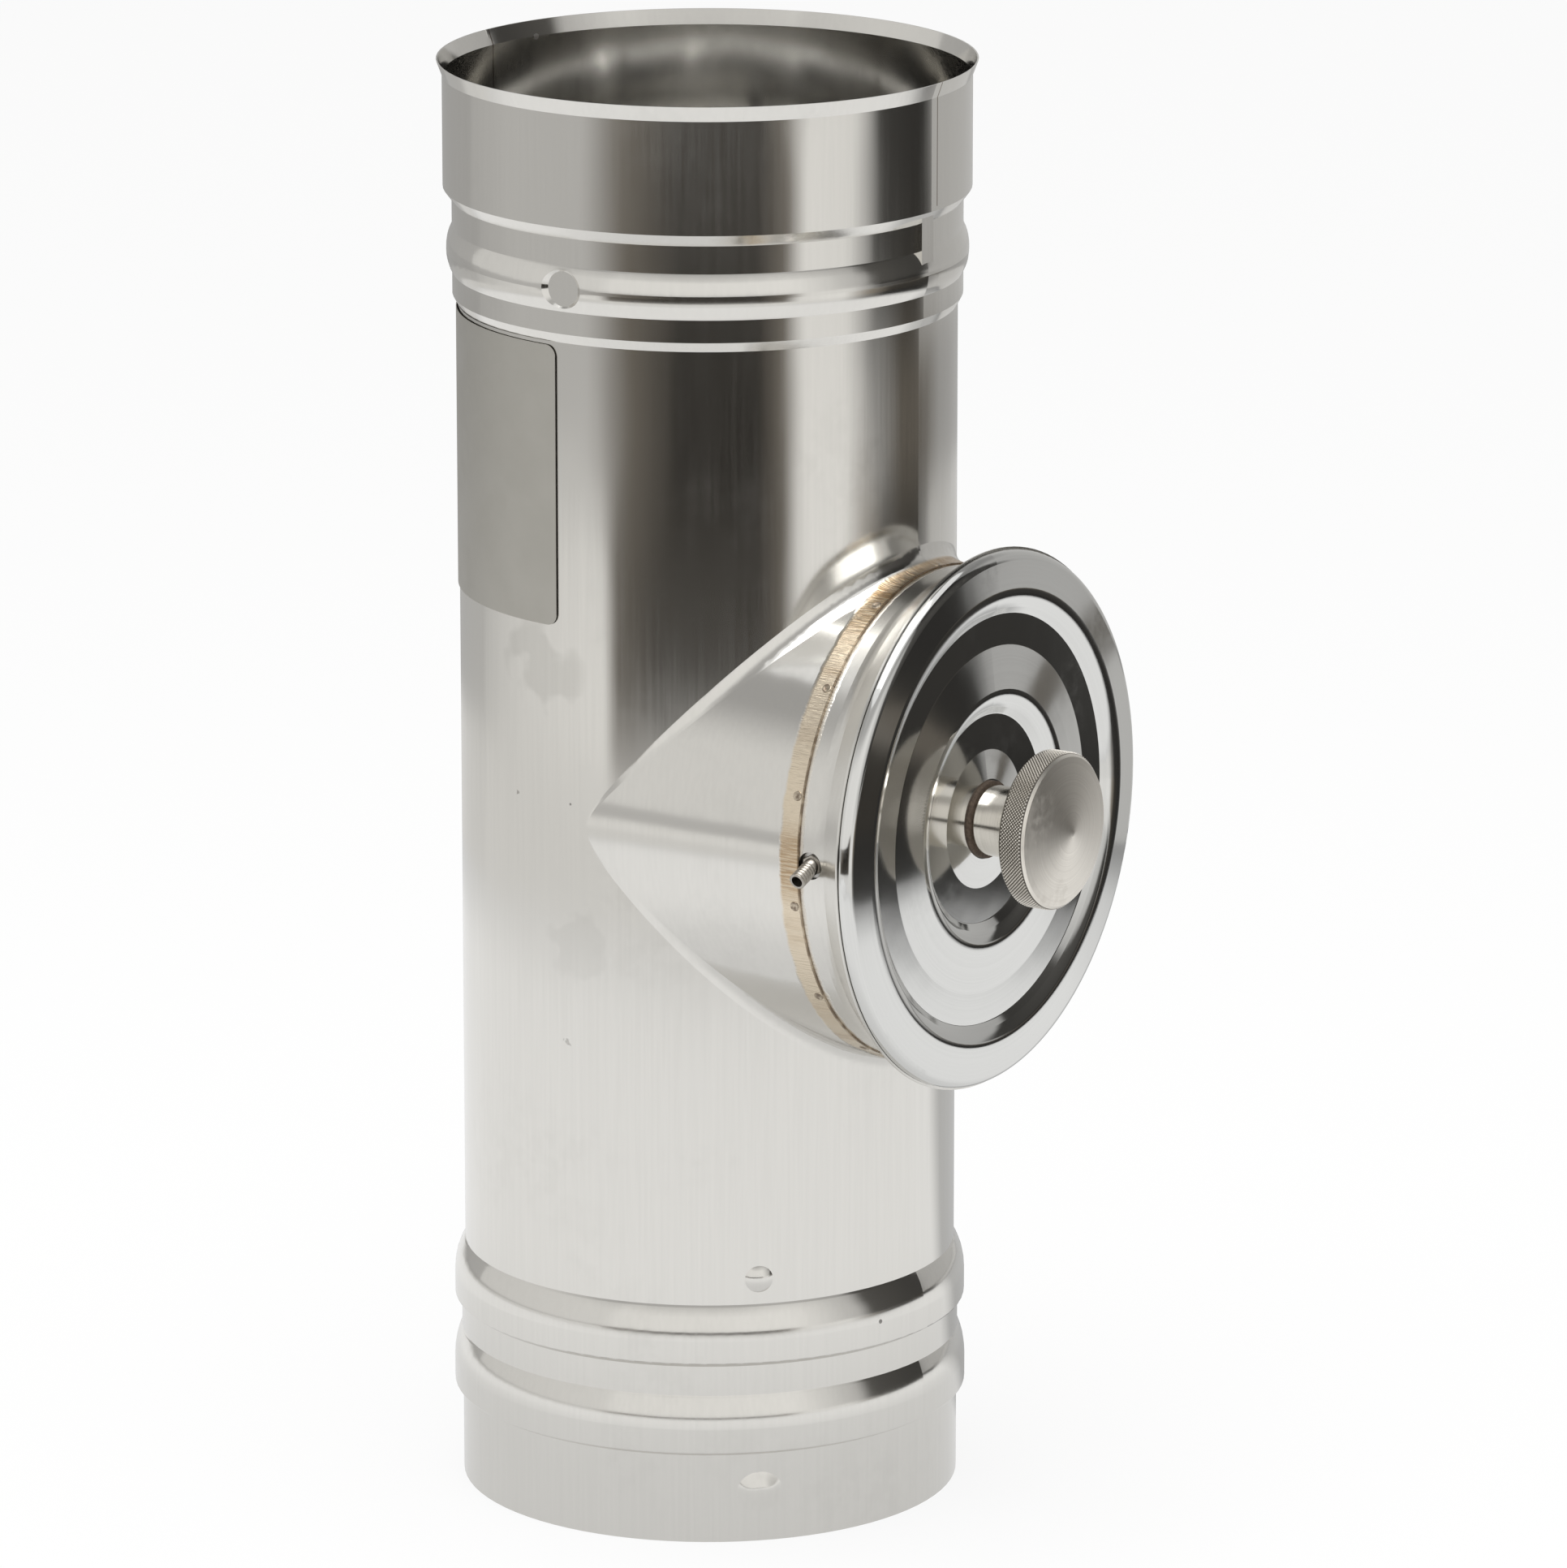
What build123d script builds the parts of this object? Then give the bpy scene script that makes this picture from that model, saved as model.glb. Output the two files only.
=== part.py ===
from build123d import *
import math
import os

# Flue pipe with a round inspection door on a branch neck.
# Millimetres. The pipe axis is Z, the spigot's end is at z = 0 and the branch runs along +X.

# Pipe
wall = 0.4                  # sheet thickness
bore = 130.0                # nominal inside diameter of the pipe
spigot_rise = 0.8           # of the plain end over the body
spigot_length = 24.0
lower_bead_rise = 2.2       # over the spigot
upper_bead_rise = 2.0
valley_rise = 0.2           # between the two flat beads, over the spigot
bead_length = 16.5          # each flat bead, heel to top
bead_heel = 1.2             # length of a bead's short lower flank
bead_shoulder = 4.5         # length of a bead's sloping upper flank
heel_rounding = 0.5
shoulder_share = 0.88       # of a bead's upper flank that is rounded
valley_length = 8.0         # between the beads
body_length = 255.0         # plain pipe between the beads and the socket
socket_step = 2.6           # length of the step from the body to the seat
seat_clearance = 0.2        # between the seat and the next pipe's spigot
seat_foot = 5.9             # plain seat below the ring bead
ring_bead_rise = 1.5        # over the seat
ring_bead_length = 12.0
ring_bead_top = 6.4         # width of the ring bead's crest
ring_bead_share = 0.88      # of the ring bead's flanks that is rounded
groove_length = 7.3         # plain seat above the ring bead
shoulder_length = 3.1
socket_clearance = 0.3      # between the mouth and the next pipe's beads
mouth_length = 29.5
lip_rise = 1.5              # of the lip over the mouth
lip_length = 4.0

# Marks pressed into the pipe, by angle from the branch
lock_angle = -45.0
body_dimple_radius = 3.6
body_dimple_height = 1.2
body_dimple_gap = 3.2       # from the upper bead to the dimple's edge
flat_spot_angle = -90.0
flat_spot_radius = 4.6
flat_spot_slope = 1.2       # widening of the spot's side for each unit of rise
flat_spot_rise = 0.1        # above the seat
seam_strip_width = 5.5
seam_strip_drop = 1.1       # below the socket mouth
seam_notch_width = 0.5
seam_notch_depth = 1.8

# Branch neck
branch_level = 192.0
branch_step = 0.2           # the neck's radius is this much under the pipe's
crotch_radius = 5.0         # rounding between the pipe and the neck
neck_reach = 5.4            # from the pipe's wall to the neck's end

# Door collar
collar_wall = 0.5
lap_length = 6.0            # of the collar inside the neck
lap_gap = 0.05
collar_band = 6.4           # plain band in front of the neck
flare_length = 9.3
flare_rise = 4.45           # over the collar's plain band
flare_rounding = 8.0
lip_land = 2.2              # flat lip beyond the flare
lip_rounding = 1.5

# Door cover
cover_wall = 0.7
cover_gap = 0.15            # between the collar's lip and the cover's edge
rim_inset = 0.6             # of the rim inside the collar's lip
rim_rounding = 2.8
rim_depth = 4.1
rim_fall = 1.4              # of the rim's face from its crest to its edge
rim_width = 12.4            # from the crest to the edge
flank_run = 3.9             # radial length of the step from the crest to the panel
panel_depth = 2.8           # of the panel behind the rim's crest
ridge_radius = 31.8         # of the ridge round the dish
ridge_height = 1.6          # above the panel
ridge_outer_run = 14.2      # radial length of the ridge's outer slope
ridge_inner_run = 3.9       # radial length of the ridge's inner slope
ridge_rounding = 6.0
dish_depth = 1.9            # of the dish behind the panel
boss_foot_radius = 18.3     # of the boss in the middle of the dish
boss_height = 1.0
boss_margin = 0.3           # of the boss round the washer
crease_rounding = 1.5
crest_rounding = 7.0        # rounding at the top of a pressed step
foot_rounding = 0.8         # rounding at the foot of a pressed step
spindle_hole_gap = 0.4

# Gasket
gasket_width = 6.8
gasket_gap = 0.3            # between the gasket and the cover
gasket_chamfer = 1.5

# Knob and spindle
washer_radius = 10.2
washer_thickness = 1.0
slack = 0.05                # between flat faces that turn on each other
knob_neck_radius = 9.3
knob_neck_length = 14.8
knob_radius = 20.8
knob_width = 7.6
knob_chamfer = 0.7
knob_cone_height = 2.9
spindle_radius = 4.0
spindle_running_gap = 0.08
spindle_socket_depth = 10.0
spindle_socket_gap = 0.02
spindle_tip_chamfer = 1.0
spindle_past_bush = 4.0
inner_washer_radius = 9.0
inner_washer_thickness = 1.0
ring_clip_radius = 7.0
ring_clip_thickness = 1.0

# Cross bar
bar_thickness = 2.0
bar_width = 18.0
bar_to_crotch = 1.0         # from the pipe's wall line to the bar
tab_length = 14.0
tab_gap = 0.4               # between the tabs and the collar's wall
bush_radius = 6.0
bush_flange_radius = 9.0
bush_flange_thickness = 2.0
bush_length = 8.0
pin_radius = 2.2
pin_bore_radius = 1.55
pin_reach = 6.5             # outside the collar
pin_droop = 20.0            # the near pin leans down by this angle
pin_hole_radius = 3.6
pin_flange_radius = 3.0
pin_flange_thickness = 0.6

# Label film
film_thickness = 0.2
film_gap = 0.3              # between the pipe and the film
film_height = 74.0
film_width = 105.0
film_top_gap = 1.0          # below the socket step
film_edge_angle = -93.0     # of the edge nearest to the branch
film_corner = 3.0

# Radii of the pipe's outside
body_radius = bore / 2 + wall
spigot_radius = body_radius + spigot_rise
lower_bead_radius = spigot_radius + lower_bead_rise
upper_bead_radius = spigot_radius + upper_bead_rise
valley_radius = spigot_radius + valley_rise
seat_radius = spigot_radius + seat_clearance + wall
ring_bead_radius = seat_radius + ring_bead_rise
mouth_radius = lower_bead_radius + socket_clearance + wall
lip_radius = mouth_radius + lip_rise

# Levels along the pipe
lower_bead_top = spigot_length + bead_length
upper_bead_base = lower_bead_top + valley_length
upper_bead_top = upper_bead_base + bead_length
body_top = upper_bead_top + body_length
seat_level = body_top + socket_step
ring_bead_level = seat_level + seat_foot
groove_level = ring_bead_level + ring_bead_length
shoulder_level = groove_level + groove_length
mouth_level = shoulder_level + shoulder_length
lip_level = mouth_level + mouth_length
pipe_height = lip_level + lip_length

# Places along the branch, from the pipe's axis
neck_radius = body_radius - branch_step
neck_end = body_radius + neck_reach
collar_start = neck_end - lap_length
collar_radius = neck_radius - wall - lap_gap
flare_radius = collar_radius + flare_rise
rim_radius = flare_radius + lip_land - rim_inset
crest_radius = rim_radius - rim_width
flare_start = neck_end + collar_band
lip_front = flare_start + flare_length
cover_edge = lip_front + cover_gap
crest = cover_edge + rim_depth
panel = crest - panel_depth
dish = panel - dish_depth
centre = dish + boss_height
centre_back = centre - cover_wall
washer_front = centre + washer_thickness
clip_front = centre_back - inner_washer_thickness - slack
neck_back = washer_front + slack
head_back = neck_back + knob_neck_length
head_front = head_back + knob_width
bar_back = body_radius + bar_to_crotch
bar_front = bar_back + bar_thickness
bush_back = bar_back - bush_flange_thickness
bush_front = bush_back + bush_flange_thickness + bush_length
collar_inner = collar_radius - collar_wall
pin_place = (neck_end + flare_start) / 2

branch_axis = Axis((0, 0, branch_level), (1, 0, 0))
branch_frame = Plane((0, 0, branch_level), x_dir=(0, 1, 0), z_dir=(1, 0, 0))
margin = 5.0                # cutters run past what they cut by this much


def turned(outline, roundings=()):
    # Solid turned about the branch axis from (place along X, radius) corners.
    # A rounding is (corner index, radius).
    points = [(place, radius + branch_level) for place, radius in outline]
    profile = make_face(Polyline(*points, close=True))
    for index, size in roundings:
        corner = Vector(*points[index])
        profile = fillet(profile.vertices().sort_by_distance(corner)[:1], size)
    return revolve(Plane.XZ * profile, branch_axis)


def sheet_ring(centre_line, thickness, roundings):
    # Pressed sheet of even thickness, turned about the branch axis along its middle line.
    points = [(place, radius + branch_level) for place, radius in centre_line]
    line = Polyline(*points)
    corners = [Vector(*point) for point in points]
    for index, size in roundings:
        line = fillet(line.vertices().sort_by_distance(corners[index])[:1], size)
    return revolve(Plane.XZ * trace(line, thickness), branch_axis)


def tube(outer, inner, start, end):
    return turned([(start, inner), (end, inner), (end, outer), (start, outer)])


def around(angle, place):
    # Moves a shape from the +X side of the pipe to another angle and level.
    return Pos(0, 0, place) * Rot(0, 0, angle)


def flank_rounding(rise, run, share):
    # Radius that rounds off this share of a sloping flank.
    return share * math.hypot(rise, run) / math.tan(math.atan2(rise, run) / 2)


def pipe_envelope(inset, run_out):
    # The pipe's outside, drawn in by the inset and run past both ends.
    crest_side = (ring_bead_length - ring_bead_top) / 2
    outline = [
        (spigot_radius, 0),
        (spigot_radius, spigot_length),
        (lower_bead_radius, spigot_length + bead_heel),
        (lower_bead_radius, lower_bead_top - bead_shoulder),
        (valley_radius, lower_bead_top),
        (valley_radius, upper_bead_base),
        (upper_bead_radius, upper_bead_base + bead_heel),
        (upper_bead_radius, upper_bead_top - bead_shoulder),
        (body_radius, upper_bead_top),
        (body_radius, body_top),
        (seat_radius, seat_level),
        (seat_radius, ring_bead_level),
        (ring_bead_radius, ring_bead_level + crest_side),
        (ring_bead_radius, groove_level - crest_side),
        (seat_radius, groove_level),
        (seat_radius, shoulder_level),
        (mouth_radius, mouth_level),
        (mouth_radius, lip_level),
        (lip_radius, pipe_height),
    ]
    points = [(radius - inset, level) for radius, level in outline]
    ends = []
    if run_out:
        ends = [(points[-1][0], pipe_height + run_out), (0, pipe_height + run_out), (0, -run_out),
                (points[0][0], -run_out)]
    else:
        ends = [(0, pipe_height), (0, 0)]
    profile = make_face(Polyline(*points, *ends, close=True))
    lower_shoulder = flank_rounding(lower_bead_radius - valley_radius, bead_shoulder, shoulder_share)
    upper_shoulder = flank_rounding(upper_bead_radius - body_radius, bead_shoulder, shoulder_share)
    ring_shoulder = flank_rounding(ring_bead_rise, crest_side, ring_bead_share)
    soft = {2: heel_rounding, 3: lower_shoulder, 6: heel_rounding, 7: upper_shoulder,
            12: ring_shoulder, 13: ring_shoulder}
    for index, size in soft.items():
        profile = fillet(profile.vertices().sort_by_distance(Vector(*points[index]))[:1], size)
    return revolve(Plane.XZ * profile, Axis.Z)


def with_branch(envelope, inset, length):
    # Adds the branch, and rounds the crotch before anything else is pressed in.
    radius = neck_radius - inset
    branch = branch_frame * Cylinder(radius, length, align=(Align.CENTER, Align.CENTER, Align.MIN))
    joined = envelope + branch
    crease = [edge for edge in joined.edges()
              if edge.geom_type not in (GeomType.LINE, GeomType.CIRCLE)
              and abs(edge.center().Z - branch_level) < body_radius]
    return fillet(crease, crotch_radius + inset)


def dimple(radius, height, surface, angle, level, inset):
    # Round bump on the pipe's outside, as a ball sunk into it.
    ball = (radius ** 2 + height ** 2) / (2 * height)
    return around(angle, level) * Pos(surface + height - ball, 0, 0) * Sphere(ball - inset)


def pressed_marks(solid, inset):
    # The dimple, the crushed spot of the ring bead and the strips along the two seams.
    body_dimple_level = upper_bead_top + body_dimple_gap + body_dimple_radius
    solid += dimple(body_dimple_radius, body_dimple_height, body_radius, lock_angle,
                    body_dimple_level, inset)
    strip_radius = mouth_radius - seam_strip_drop
    strip_low = (ring_bead_level + groove_level) / 2
    strip_high = mouth_level - seam_strip_drop
    for angle in (0, 180):
        strip = Box(strip_radius - inset - bore / 4, seam_strip_width - 2 * inset,
                    strip_high - strip_low, align=(Align.MAX, Align.CENTER, Align.MIN))
        solid += around(angle, strip_low) * Pos(strip_radius - inset, 0, 0) * strip
    floor = seat_radius + flat_spot_rise - inset
    wide = flat_spot_radius + flat_spot_slope * (lip_radius - floor)
    punch = Rot(0, 90, 0) * Cone(flat_spot_radius, wide, lip_radius - floor,
                                 align=(Align.CENTER, Align.CENTER, Align.MIN))
    middle = (ring_bead_level + groove_level) / 2
    return solid - around(flat_spot_angle, middle) * Pos(floor, 0, 0) * punch


def make_pipe_body():
    outside = with_branch(pipe_envelope(0, 0), 0, lip_front)
    inside = with_branch(pipe_envelope(wall, margin), wall, lip_front + margin)
    outside = pressed_marks(outside, 0)
    inside = pressed_marks(inside, wall)
    trim = Pos(neck_end, 0, branch_level) * Box(bore, 2 * bore, 2 * bore,
                                                align=(Align.MIN, Align.CENTER, Align.CENTER))
    notch = Pos(-lip_radius, 0, pipe_height) * Box(margin * 2, seam_notch_width, 2 * seam_notch_depth)
    return outside - inside - trim - notch


def make_door_collar():
    middle = collar_radius - collar_wall / 2
    lip_middle = lip_front - collar_wall / 2
    line = [(collar_start, middle), (flare_start, middle), (lip_middle, flare_radius - collar_wall / 2),
            (lip_middle, flare_radius + lip_land)]
    ring = sheet_ring(line, collar_wall, [(1, flare_rounding), (2, lip_rounding)])
    hole = Pos(pin_place, 0, branch_level) * Rot(90, 0, 0) * Cylinder(pin_hole_radius, 2 * bore)
    return ring - hole


def make_door_cover():
    half = cover_wall / 2
    edge = rim_radius - half
    front = crest - half
    flat = panel - half
    low = dish - half
    middle = centre - half
    hole = spindle_radius + spindle_hole_gap
    line = [(cover_edge, edge), (front - rim_fall, edge), (front, crest_radius),
            (flat, crest_radius - flank_run), (flat, ridge_radius + ridge_outer_run),
            (flat + ridge_height, ridge_radius), (low, ridge_radius - ridge_inner_run),
            (low, boss_foot_radius), (middle, washer_radius + boss_margin), (middle, hole)]
    rounded = [(1, rim_rounding - half), (2, crest_rounding), (3, foot_rounding),
               (4, crease_rounding), (5, ridge_rounding), (6, foot_rounding),
               (7, crease_rounding), (8, crease_rounding)]
    return sheet_ring(line, cover_wall, rounded)


def make_door_gasket():
    back = lip_front + slack
    front = crest - rim_fall - cover_wall - gasket_gap
    outer = rim_radius - cover_wall - gasket_gap
    inner = outer - gasket_width
    return turned([(back, inner), (front, inner), (front, outer - gasket_chamfer),
                   (front - gasket_chamfer, outer), (back, outer)])


def make_knob():
    apex = head_front + knob_cone_height
    body = turned([(neck_back, 0), (neck_back, knob_neck_radius), (head_back, knob_neck_radius),
                   (head_back, knob_radius - knob_chamfer), (head_back + knob_chamfer, knob_radius),
                   (head_front - knob_chamfer, knob_radius), (head_front, knob_radius - knob_chamfer),
                   (apex, 0)])
    socket = spindle_radius + spindle_socket_gap
    return body - turned([(neck_back - margin, 0), (neck_back + spindle_socket_depth, 0),
                          (neck_back + spindle_socket_depth, socket), (neck_back - margin, socket)])


def make_spindle():
    tip = bush_back - spindle_past_bush
    end = neck_back + spindle_socket_depth
    return turned([(tip, 0), (end, 0), (end, spindle_radius),
                   (tip + spindle_tip_chamfer, spindle_radius), (tip, spindle_radius - spindle_tip_chamfer)])


def make_cross_bar():
    room = collar_inner - tab_gap
    bar = Box(bar_thickness, 2 * bore, bar_width, align=(Align.MIN, Align.CENTER, Align.CENTER))
    tabs = Box(bar_thickness + tab_length, 2 * bore, bar_width,
               align=(Align.MIN, Align.CENTER, Align.CENTER))
    gap = Box(bar_thickness + tab_length, 2 * (tab_face - bar_thickness), bar_width,
              align=(Align.MIN, Align.CENTER, Align.CENTER))
    shape = Pos(bar_back, 0, branch_level) * (bar + (tabs - gap))
    limit = Pos(bar_back + tab_length / 2, 0, branch_level) * Box(2 * bore, 2 * tab_face, bar_width)
    inside = turned([(0, 0), (bore, 0), (bore, room), (0, room)])
    hole = turned([(0, 0), (bore, 0), (bore, bush_radius), (0, bush_radius)])
    return (shape & limit & inside) - hole


def make_bar_bush():
    hole = spindle_radius + spindle_running_gap
    return turned([(bush_back, hole), (bush_front, hole), (bush_front, bush_radius),
                   (bar_back, bush_radius), (bar_back, bush_flange_radius),
                   (bush_back, bush_flange_radius)])


def make_bar_pin(side, droop):
    # Hollow pin on the outer face of one tab, side -1 near and +1 far.
    length = collar_radius - tab_face + pin_reach
    upright = (Align.CENTER, Align.CENTER, Align.MIN)
    stem = Cylinder(pin_radius, 2 * length) - Cylinder(pin_bore_radius, 2 * length + margin)
    seat = Pos(pin_place, side * tab_face, branch_level)
    lean = seat * Rot(-90 * side, 0, 0) * Rot(-droop * side, 0, 0)
    outward = Pos(pin_place, side * tab_face, branch_level) * Rot(-90 * side, 0, 0)
    stem = lean * stem
    flange = outward * (Cylinder(pin_flange_radius, pin_flange_thickness, align=upright))
    bore_cut = lean * Cylinder(pin_bore_radius, 2 * length + margin)
    behind = outward * Pos(0, 0, -bore) * Cylinder(bore, bore, align=upright)
    return (stem + flange) - bore_cut - behind


def make_label_film():
    sweep = math.degrees(film_width / body_radius)
    top = body_top - film_top_gap
    middle = body_radius + film_gap + film_thickness / 2
    strip = Pos(middle, top - film_height / 2) * Rectangle(film_thickness, film_height)
    film = revolve(Plane.XZ * strip, Axis.Z, revolution_arc=sweep)
    film = Rot(0, 0, film_edge_angle - sweep) * film
    corners = film.edges().filter_by(lambda edge: abs(edge.length - film_thickness) < film_thickness / 10)
    return fillet(corners, film_corner)


# Face of the bar's tabs, where the pins sit
tab_face = math.sqrt((collar_inner - tab_gap) ** 2 - (bar_width / 2) ** 2)

pieces = {
    "pipe_body": make_pipe_body(),
    "door_collar": make_door_collar(),
    "cross_bar": make_cross_bar(),
    "bar_bush": make_bar_bush(),
    "bar_pin_near": make_bar_pin(-1, pin_droop),
    "bar_pin_far": make_bar_pin(1, 0),
    "label_film": make_label_film(),
    "door_cover": make_door_cover(),
    "door_gasket": make_door_gasket(),
    "hub_washer": tube(washer_radius, spindle_radius + spindle_hole_gap, centre, washer_front),
    "inner_washer": tube(inner_washer_radius, spindle_radius + spindle_hole_gap,
                         centre_back - inner_washer_thickness, centre_back),
    "knob": make_knob(),
    "spindle": make_spindle(),
    "retaining_ring": tube(ring_clip_radius, spindle_radius, clip_front - ring_clip_thickness, clip_front),
}

os.makedirs("parts", exist_ok=True)
for name, shape in pieces.items():
    export_step(shape, f"parts/{name}.step")
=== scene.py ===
import math

import bpy
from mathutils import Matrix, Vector


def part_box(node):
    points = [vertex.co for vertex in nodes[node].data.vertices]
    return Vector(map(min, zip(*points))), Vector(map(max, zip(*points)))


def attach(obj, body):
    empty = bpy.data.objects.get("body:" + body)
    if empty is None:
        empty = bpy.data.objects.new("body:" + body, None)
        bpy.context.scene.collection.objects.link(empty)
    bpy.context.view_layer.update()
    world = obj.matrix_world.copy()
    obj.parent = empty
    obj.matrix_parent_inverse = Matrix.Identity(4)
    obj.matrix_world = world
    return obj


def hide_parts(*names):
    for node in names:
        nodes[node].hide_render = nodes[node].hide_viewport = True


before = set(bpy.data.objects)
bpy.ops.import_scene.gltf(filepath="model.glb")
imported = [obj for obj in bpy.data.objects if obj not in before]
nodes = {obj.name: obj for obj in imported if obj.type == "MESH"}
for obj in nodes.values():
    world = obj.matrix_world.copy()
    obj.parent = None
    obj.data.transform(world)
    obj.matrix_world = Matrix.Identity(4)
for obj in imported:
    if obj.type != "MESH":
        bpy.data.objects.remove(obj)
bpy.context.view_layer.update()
print("frame loaded:", len(nodes), "nodes")

scene = bpy.context.scene
scene.view_settings.view_transform = "Standard"
mm = 0.001

# the door's axis runs along +X at the middle of the cover
coverLow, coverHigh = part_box("door_cover")
doorHeight = (coverLow[2] + coverHigh[2]) / 2
pipeRadius = 65.4 * mm
neckRadius = 65.2 * mm
neckEnd = 70.8 * mm


def clearSelection():
    if bpy.context.object and bpy.context.object.mode != "OBJECT":
        bpy.ops.object.mode_set(mode="OBJECT")
    bpy.ops.object.select_all(action="DESELECT")


def makeActive(piece):
    clearSelection()
    piece.select_set(True)
    bpy.context.view_layer.objects.active = piece


# shader helpers: a source is a socket or a plain number

def addNode(tree, kind, **settings):
    node = tree.nodes.new(kind)
    for key, value in settings.items():
        setattr(node, key, value)
    return node


def feed(tree, source, socket):
    if isinstance(source, bpy.types.NodeSocket):
        tree.links.new(source, socket)
    else:
        socket.default_value = source


def calc(tree, operation, first, second=0.0, third=0.0):
    node = addNode(tree, "ShaderNodeMath", operation=operation)
    for source, socket in zip((first, second, third), node.inputs):
        feed(tree, source, socket)
    return node.outputs[0]


def remap(tree, value, start, end, toStart=0.0, toEnd=1.0):
    node = addNode(tree, "ShaderNodeMapRange", interpolation_type="SMOOTHSTEP")
    for source, label in ((value, "Value"), (start, "From Min"), (end, "From Max"),
                          (toStart, "To Min"), (toEnd, "To Max")):
        feed(tree, source, node.inputs[label])
    return node.outputs["Result"]


def blendColour(tree, share, first, second):
    node = addNode(tree, "ShaderNodeMix", data_type="RGBA")
    feed(tree, share, node.inputs[0])
    feed(tree, first, node.inputs[6])
    feed(tree, second, node.inputs[7])
    return node.outputs[2]


def scaleVector(tree, vector, scale):
    node = addNode(tree, "ShaderNodeVectorMath", operation="MULTIPLY")
    feed(tree, vector, node.inputs[0])
    feed(tree, scale, node.inputs[1])
    return node.outputs[0]


def noiseOf(tree, vector, scale, detail=3.0, roughness=0.5):
    node = addNode(tree, "ShaderNodeTexNoise")
    for source, label in ((vector, "Vector"), (scale, "Scale"), (detail, "Detail"),
                          (roughness, "Roughness")):
        feed(tree, source, node.inputs[label])
    return node.outputs["Fac"]


def newMaterial(name):
    mat = bpy.data.materials.new(name)
    mat.use_nodes = True
    tree = mat.node_tree
    place = addNode(tree, "ShaderNodeTexCoord").outputs["Object"]
    return mat, tree, tree.nodes["Principled BSDF"], place


def newGroup(name, inputs, outputs):
    tree = bpy.data.node_groups.new(name, "ShaderNodeTree")
    for label, kind in inputs:
        tree.interface.new_socket(label, in_out="INPUT", socket_type=kind)
    for label in outputs:
        tree.interface.new_socket(label, in_out="OUTPUT", socket_type="NodeSocketFloat")
    return tree, addNode(tree, "NodeGroupInput").outputs, addNode(tree, "NodeGroupOutput").inputs


def placeGroup(tree, group, **values):
    node = addNode(tree, "ShaderNodeGroup", node_tree=group)
    for label, source in values.items():
        feed(tree, source, node.inputs[label])
    return node.outputs


def bumpFrom(tree, height, strength, distance):
    node = addNode(tree, "ShaderNodeBump")
    node.inputs["Strength"].default_value = strength
    node.inputs["Distance"].default_value = distance
    feed(tree, height, node.inputs["Height"])
    return node.outputs["Normal"]


vectorKind = "NodeSocketVector"
numberKind = "NodeSocketFloat"

# fine streaks left by rolling, drawn out along the pipe
grainGroup, ins, outs = newGroup("rolledGrain", [("Place", vectorKind), ("Fineness", numberKind)], ["Grain"])
drawn = scaleVector(grainGroup, ins["Place"], (1, 1, 0.025))
feed(grainGroup, noiseOf(grainGroup, drawn, ins["Fineness"], 4.0, 0.6), outs["Grain"])

# soft patches where hands and cloths have touched the sheet
smudgeGroup, ins, outs = newGroup("handSmudges", [("Place", vectorKind), ("Size", numberKind)], ["Smudge"])
wide = noiseOf(smudgeGroup, ins["Place"], calc(smudgeGroup, "DIVIDE", 1.0, ins["Size"]), 5.0, 0.6)
fine = noiseOf(smudgeGroup, ins["Place"], calc(smudgeGroup, "DIVIDE", 9.0, ins["Size"]), 3.0, 0.6)
patch = remap(smudgeGroup, wide, 0.52, 0.66)
feed(smudgeGroup, calc(smudgeGroup, "MULTIPLY", patch, remap(smudgeGroup, fine, 0.35, 0.65)), outs["Smudge"])

# sparse dark specks and nicks
speckGroup, ins, outs = newGroup("sheetSpecks", [("Place", vectorKind), ("Spacing", numberKind),
                                                 ("Share", numberKind)], ["Speck"])
cells = addNode(speckGroup, "ShaderNodeTexVoronoi")
feed(speckGroup, ins["Place"], cells.inputs["Vector"])
feed(speckGroup, calc(speckGroup, "DIVIDE", 1.0, ins["Spacing"]), cells.inputs["Scale"])
cellTone = addNode(speckGroup, "ShaderNodeSeparateColor")
feed(speckGroup, cells.outputs["Color"], cellTone.inputs[0])
chosen = calc(speckGroup, "LESS_THAN", cellTone.outputs[0], ins["Share"])
speckSize = remap(speckGroup, cellTone.outputs[1], 0.0, 1.0, 0.03, 0.12)
dot = calc(speckGroup, "LESS_THAN", cells.outputs["Distance"], speckSize)
feed(speckGroup, calc(speckGroup, "MULTIPLY", chosen, dot), outs["Speck"])

# one ragged patch on the sheet, round a spot
patchGroup, ins, outs = newGroup("sheetPatch", [("Place", vectorKind), ("Spot", vectorKind),
                                                ("Reach", numberKind)], ["Patch"])
away = addNode(patchGroup, "ShaderNodeVectorMath", operation="DISTANCE")
feed(patchGroup, ins["Place"], away.inputs[0])
feed(patchGroup, ins["Spot"], away.inputs[1])
ragged = noiseOf(patchGroup, ins["Place"], calc(patchGroup, "DIVIDE", 0.9, ins["Reach"]), 2.0, 0.5)
edged = calc(patchGroup, "ADD", calc(patchGroup, "DIVIDE", away.outputs["Value"], ins["Reach"]),
             remap(patchGroup, ragged, 0.3, 0.7, -0.55, 0.55))
feed(patchGroup, remap(patchGroup, edged, 0.35, 0.75, 1.0, 0.0), outs["Patch"])

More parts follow.
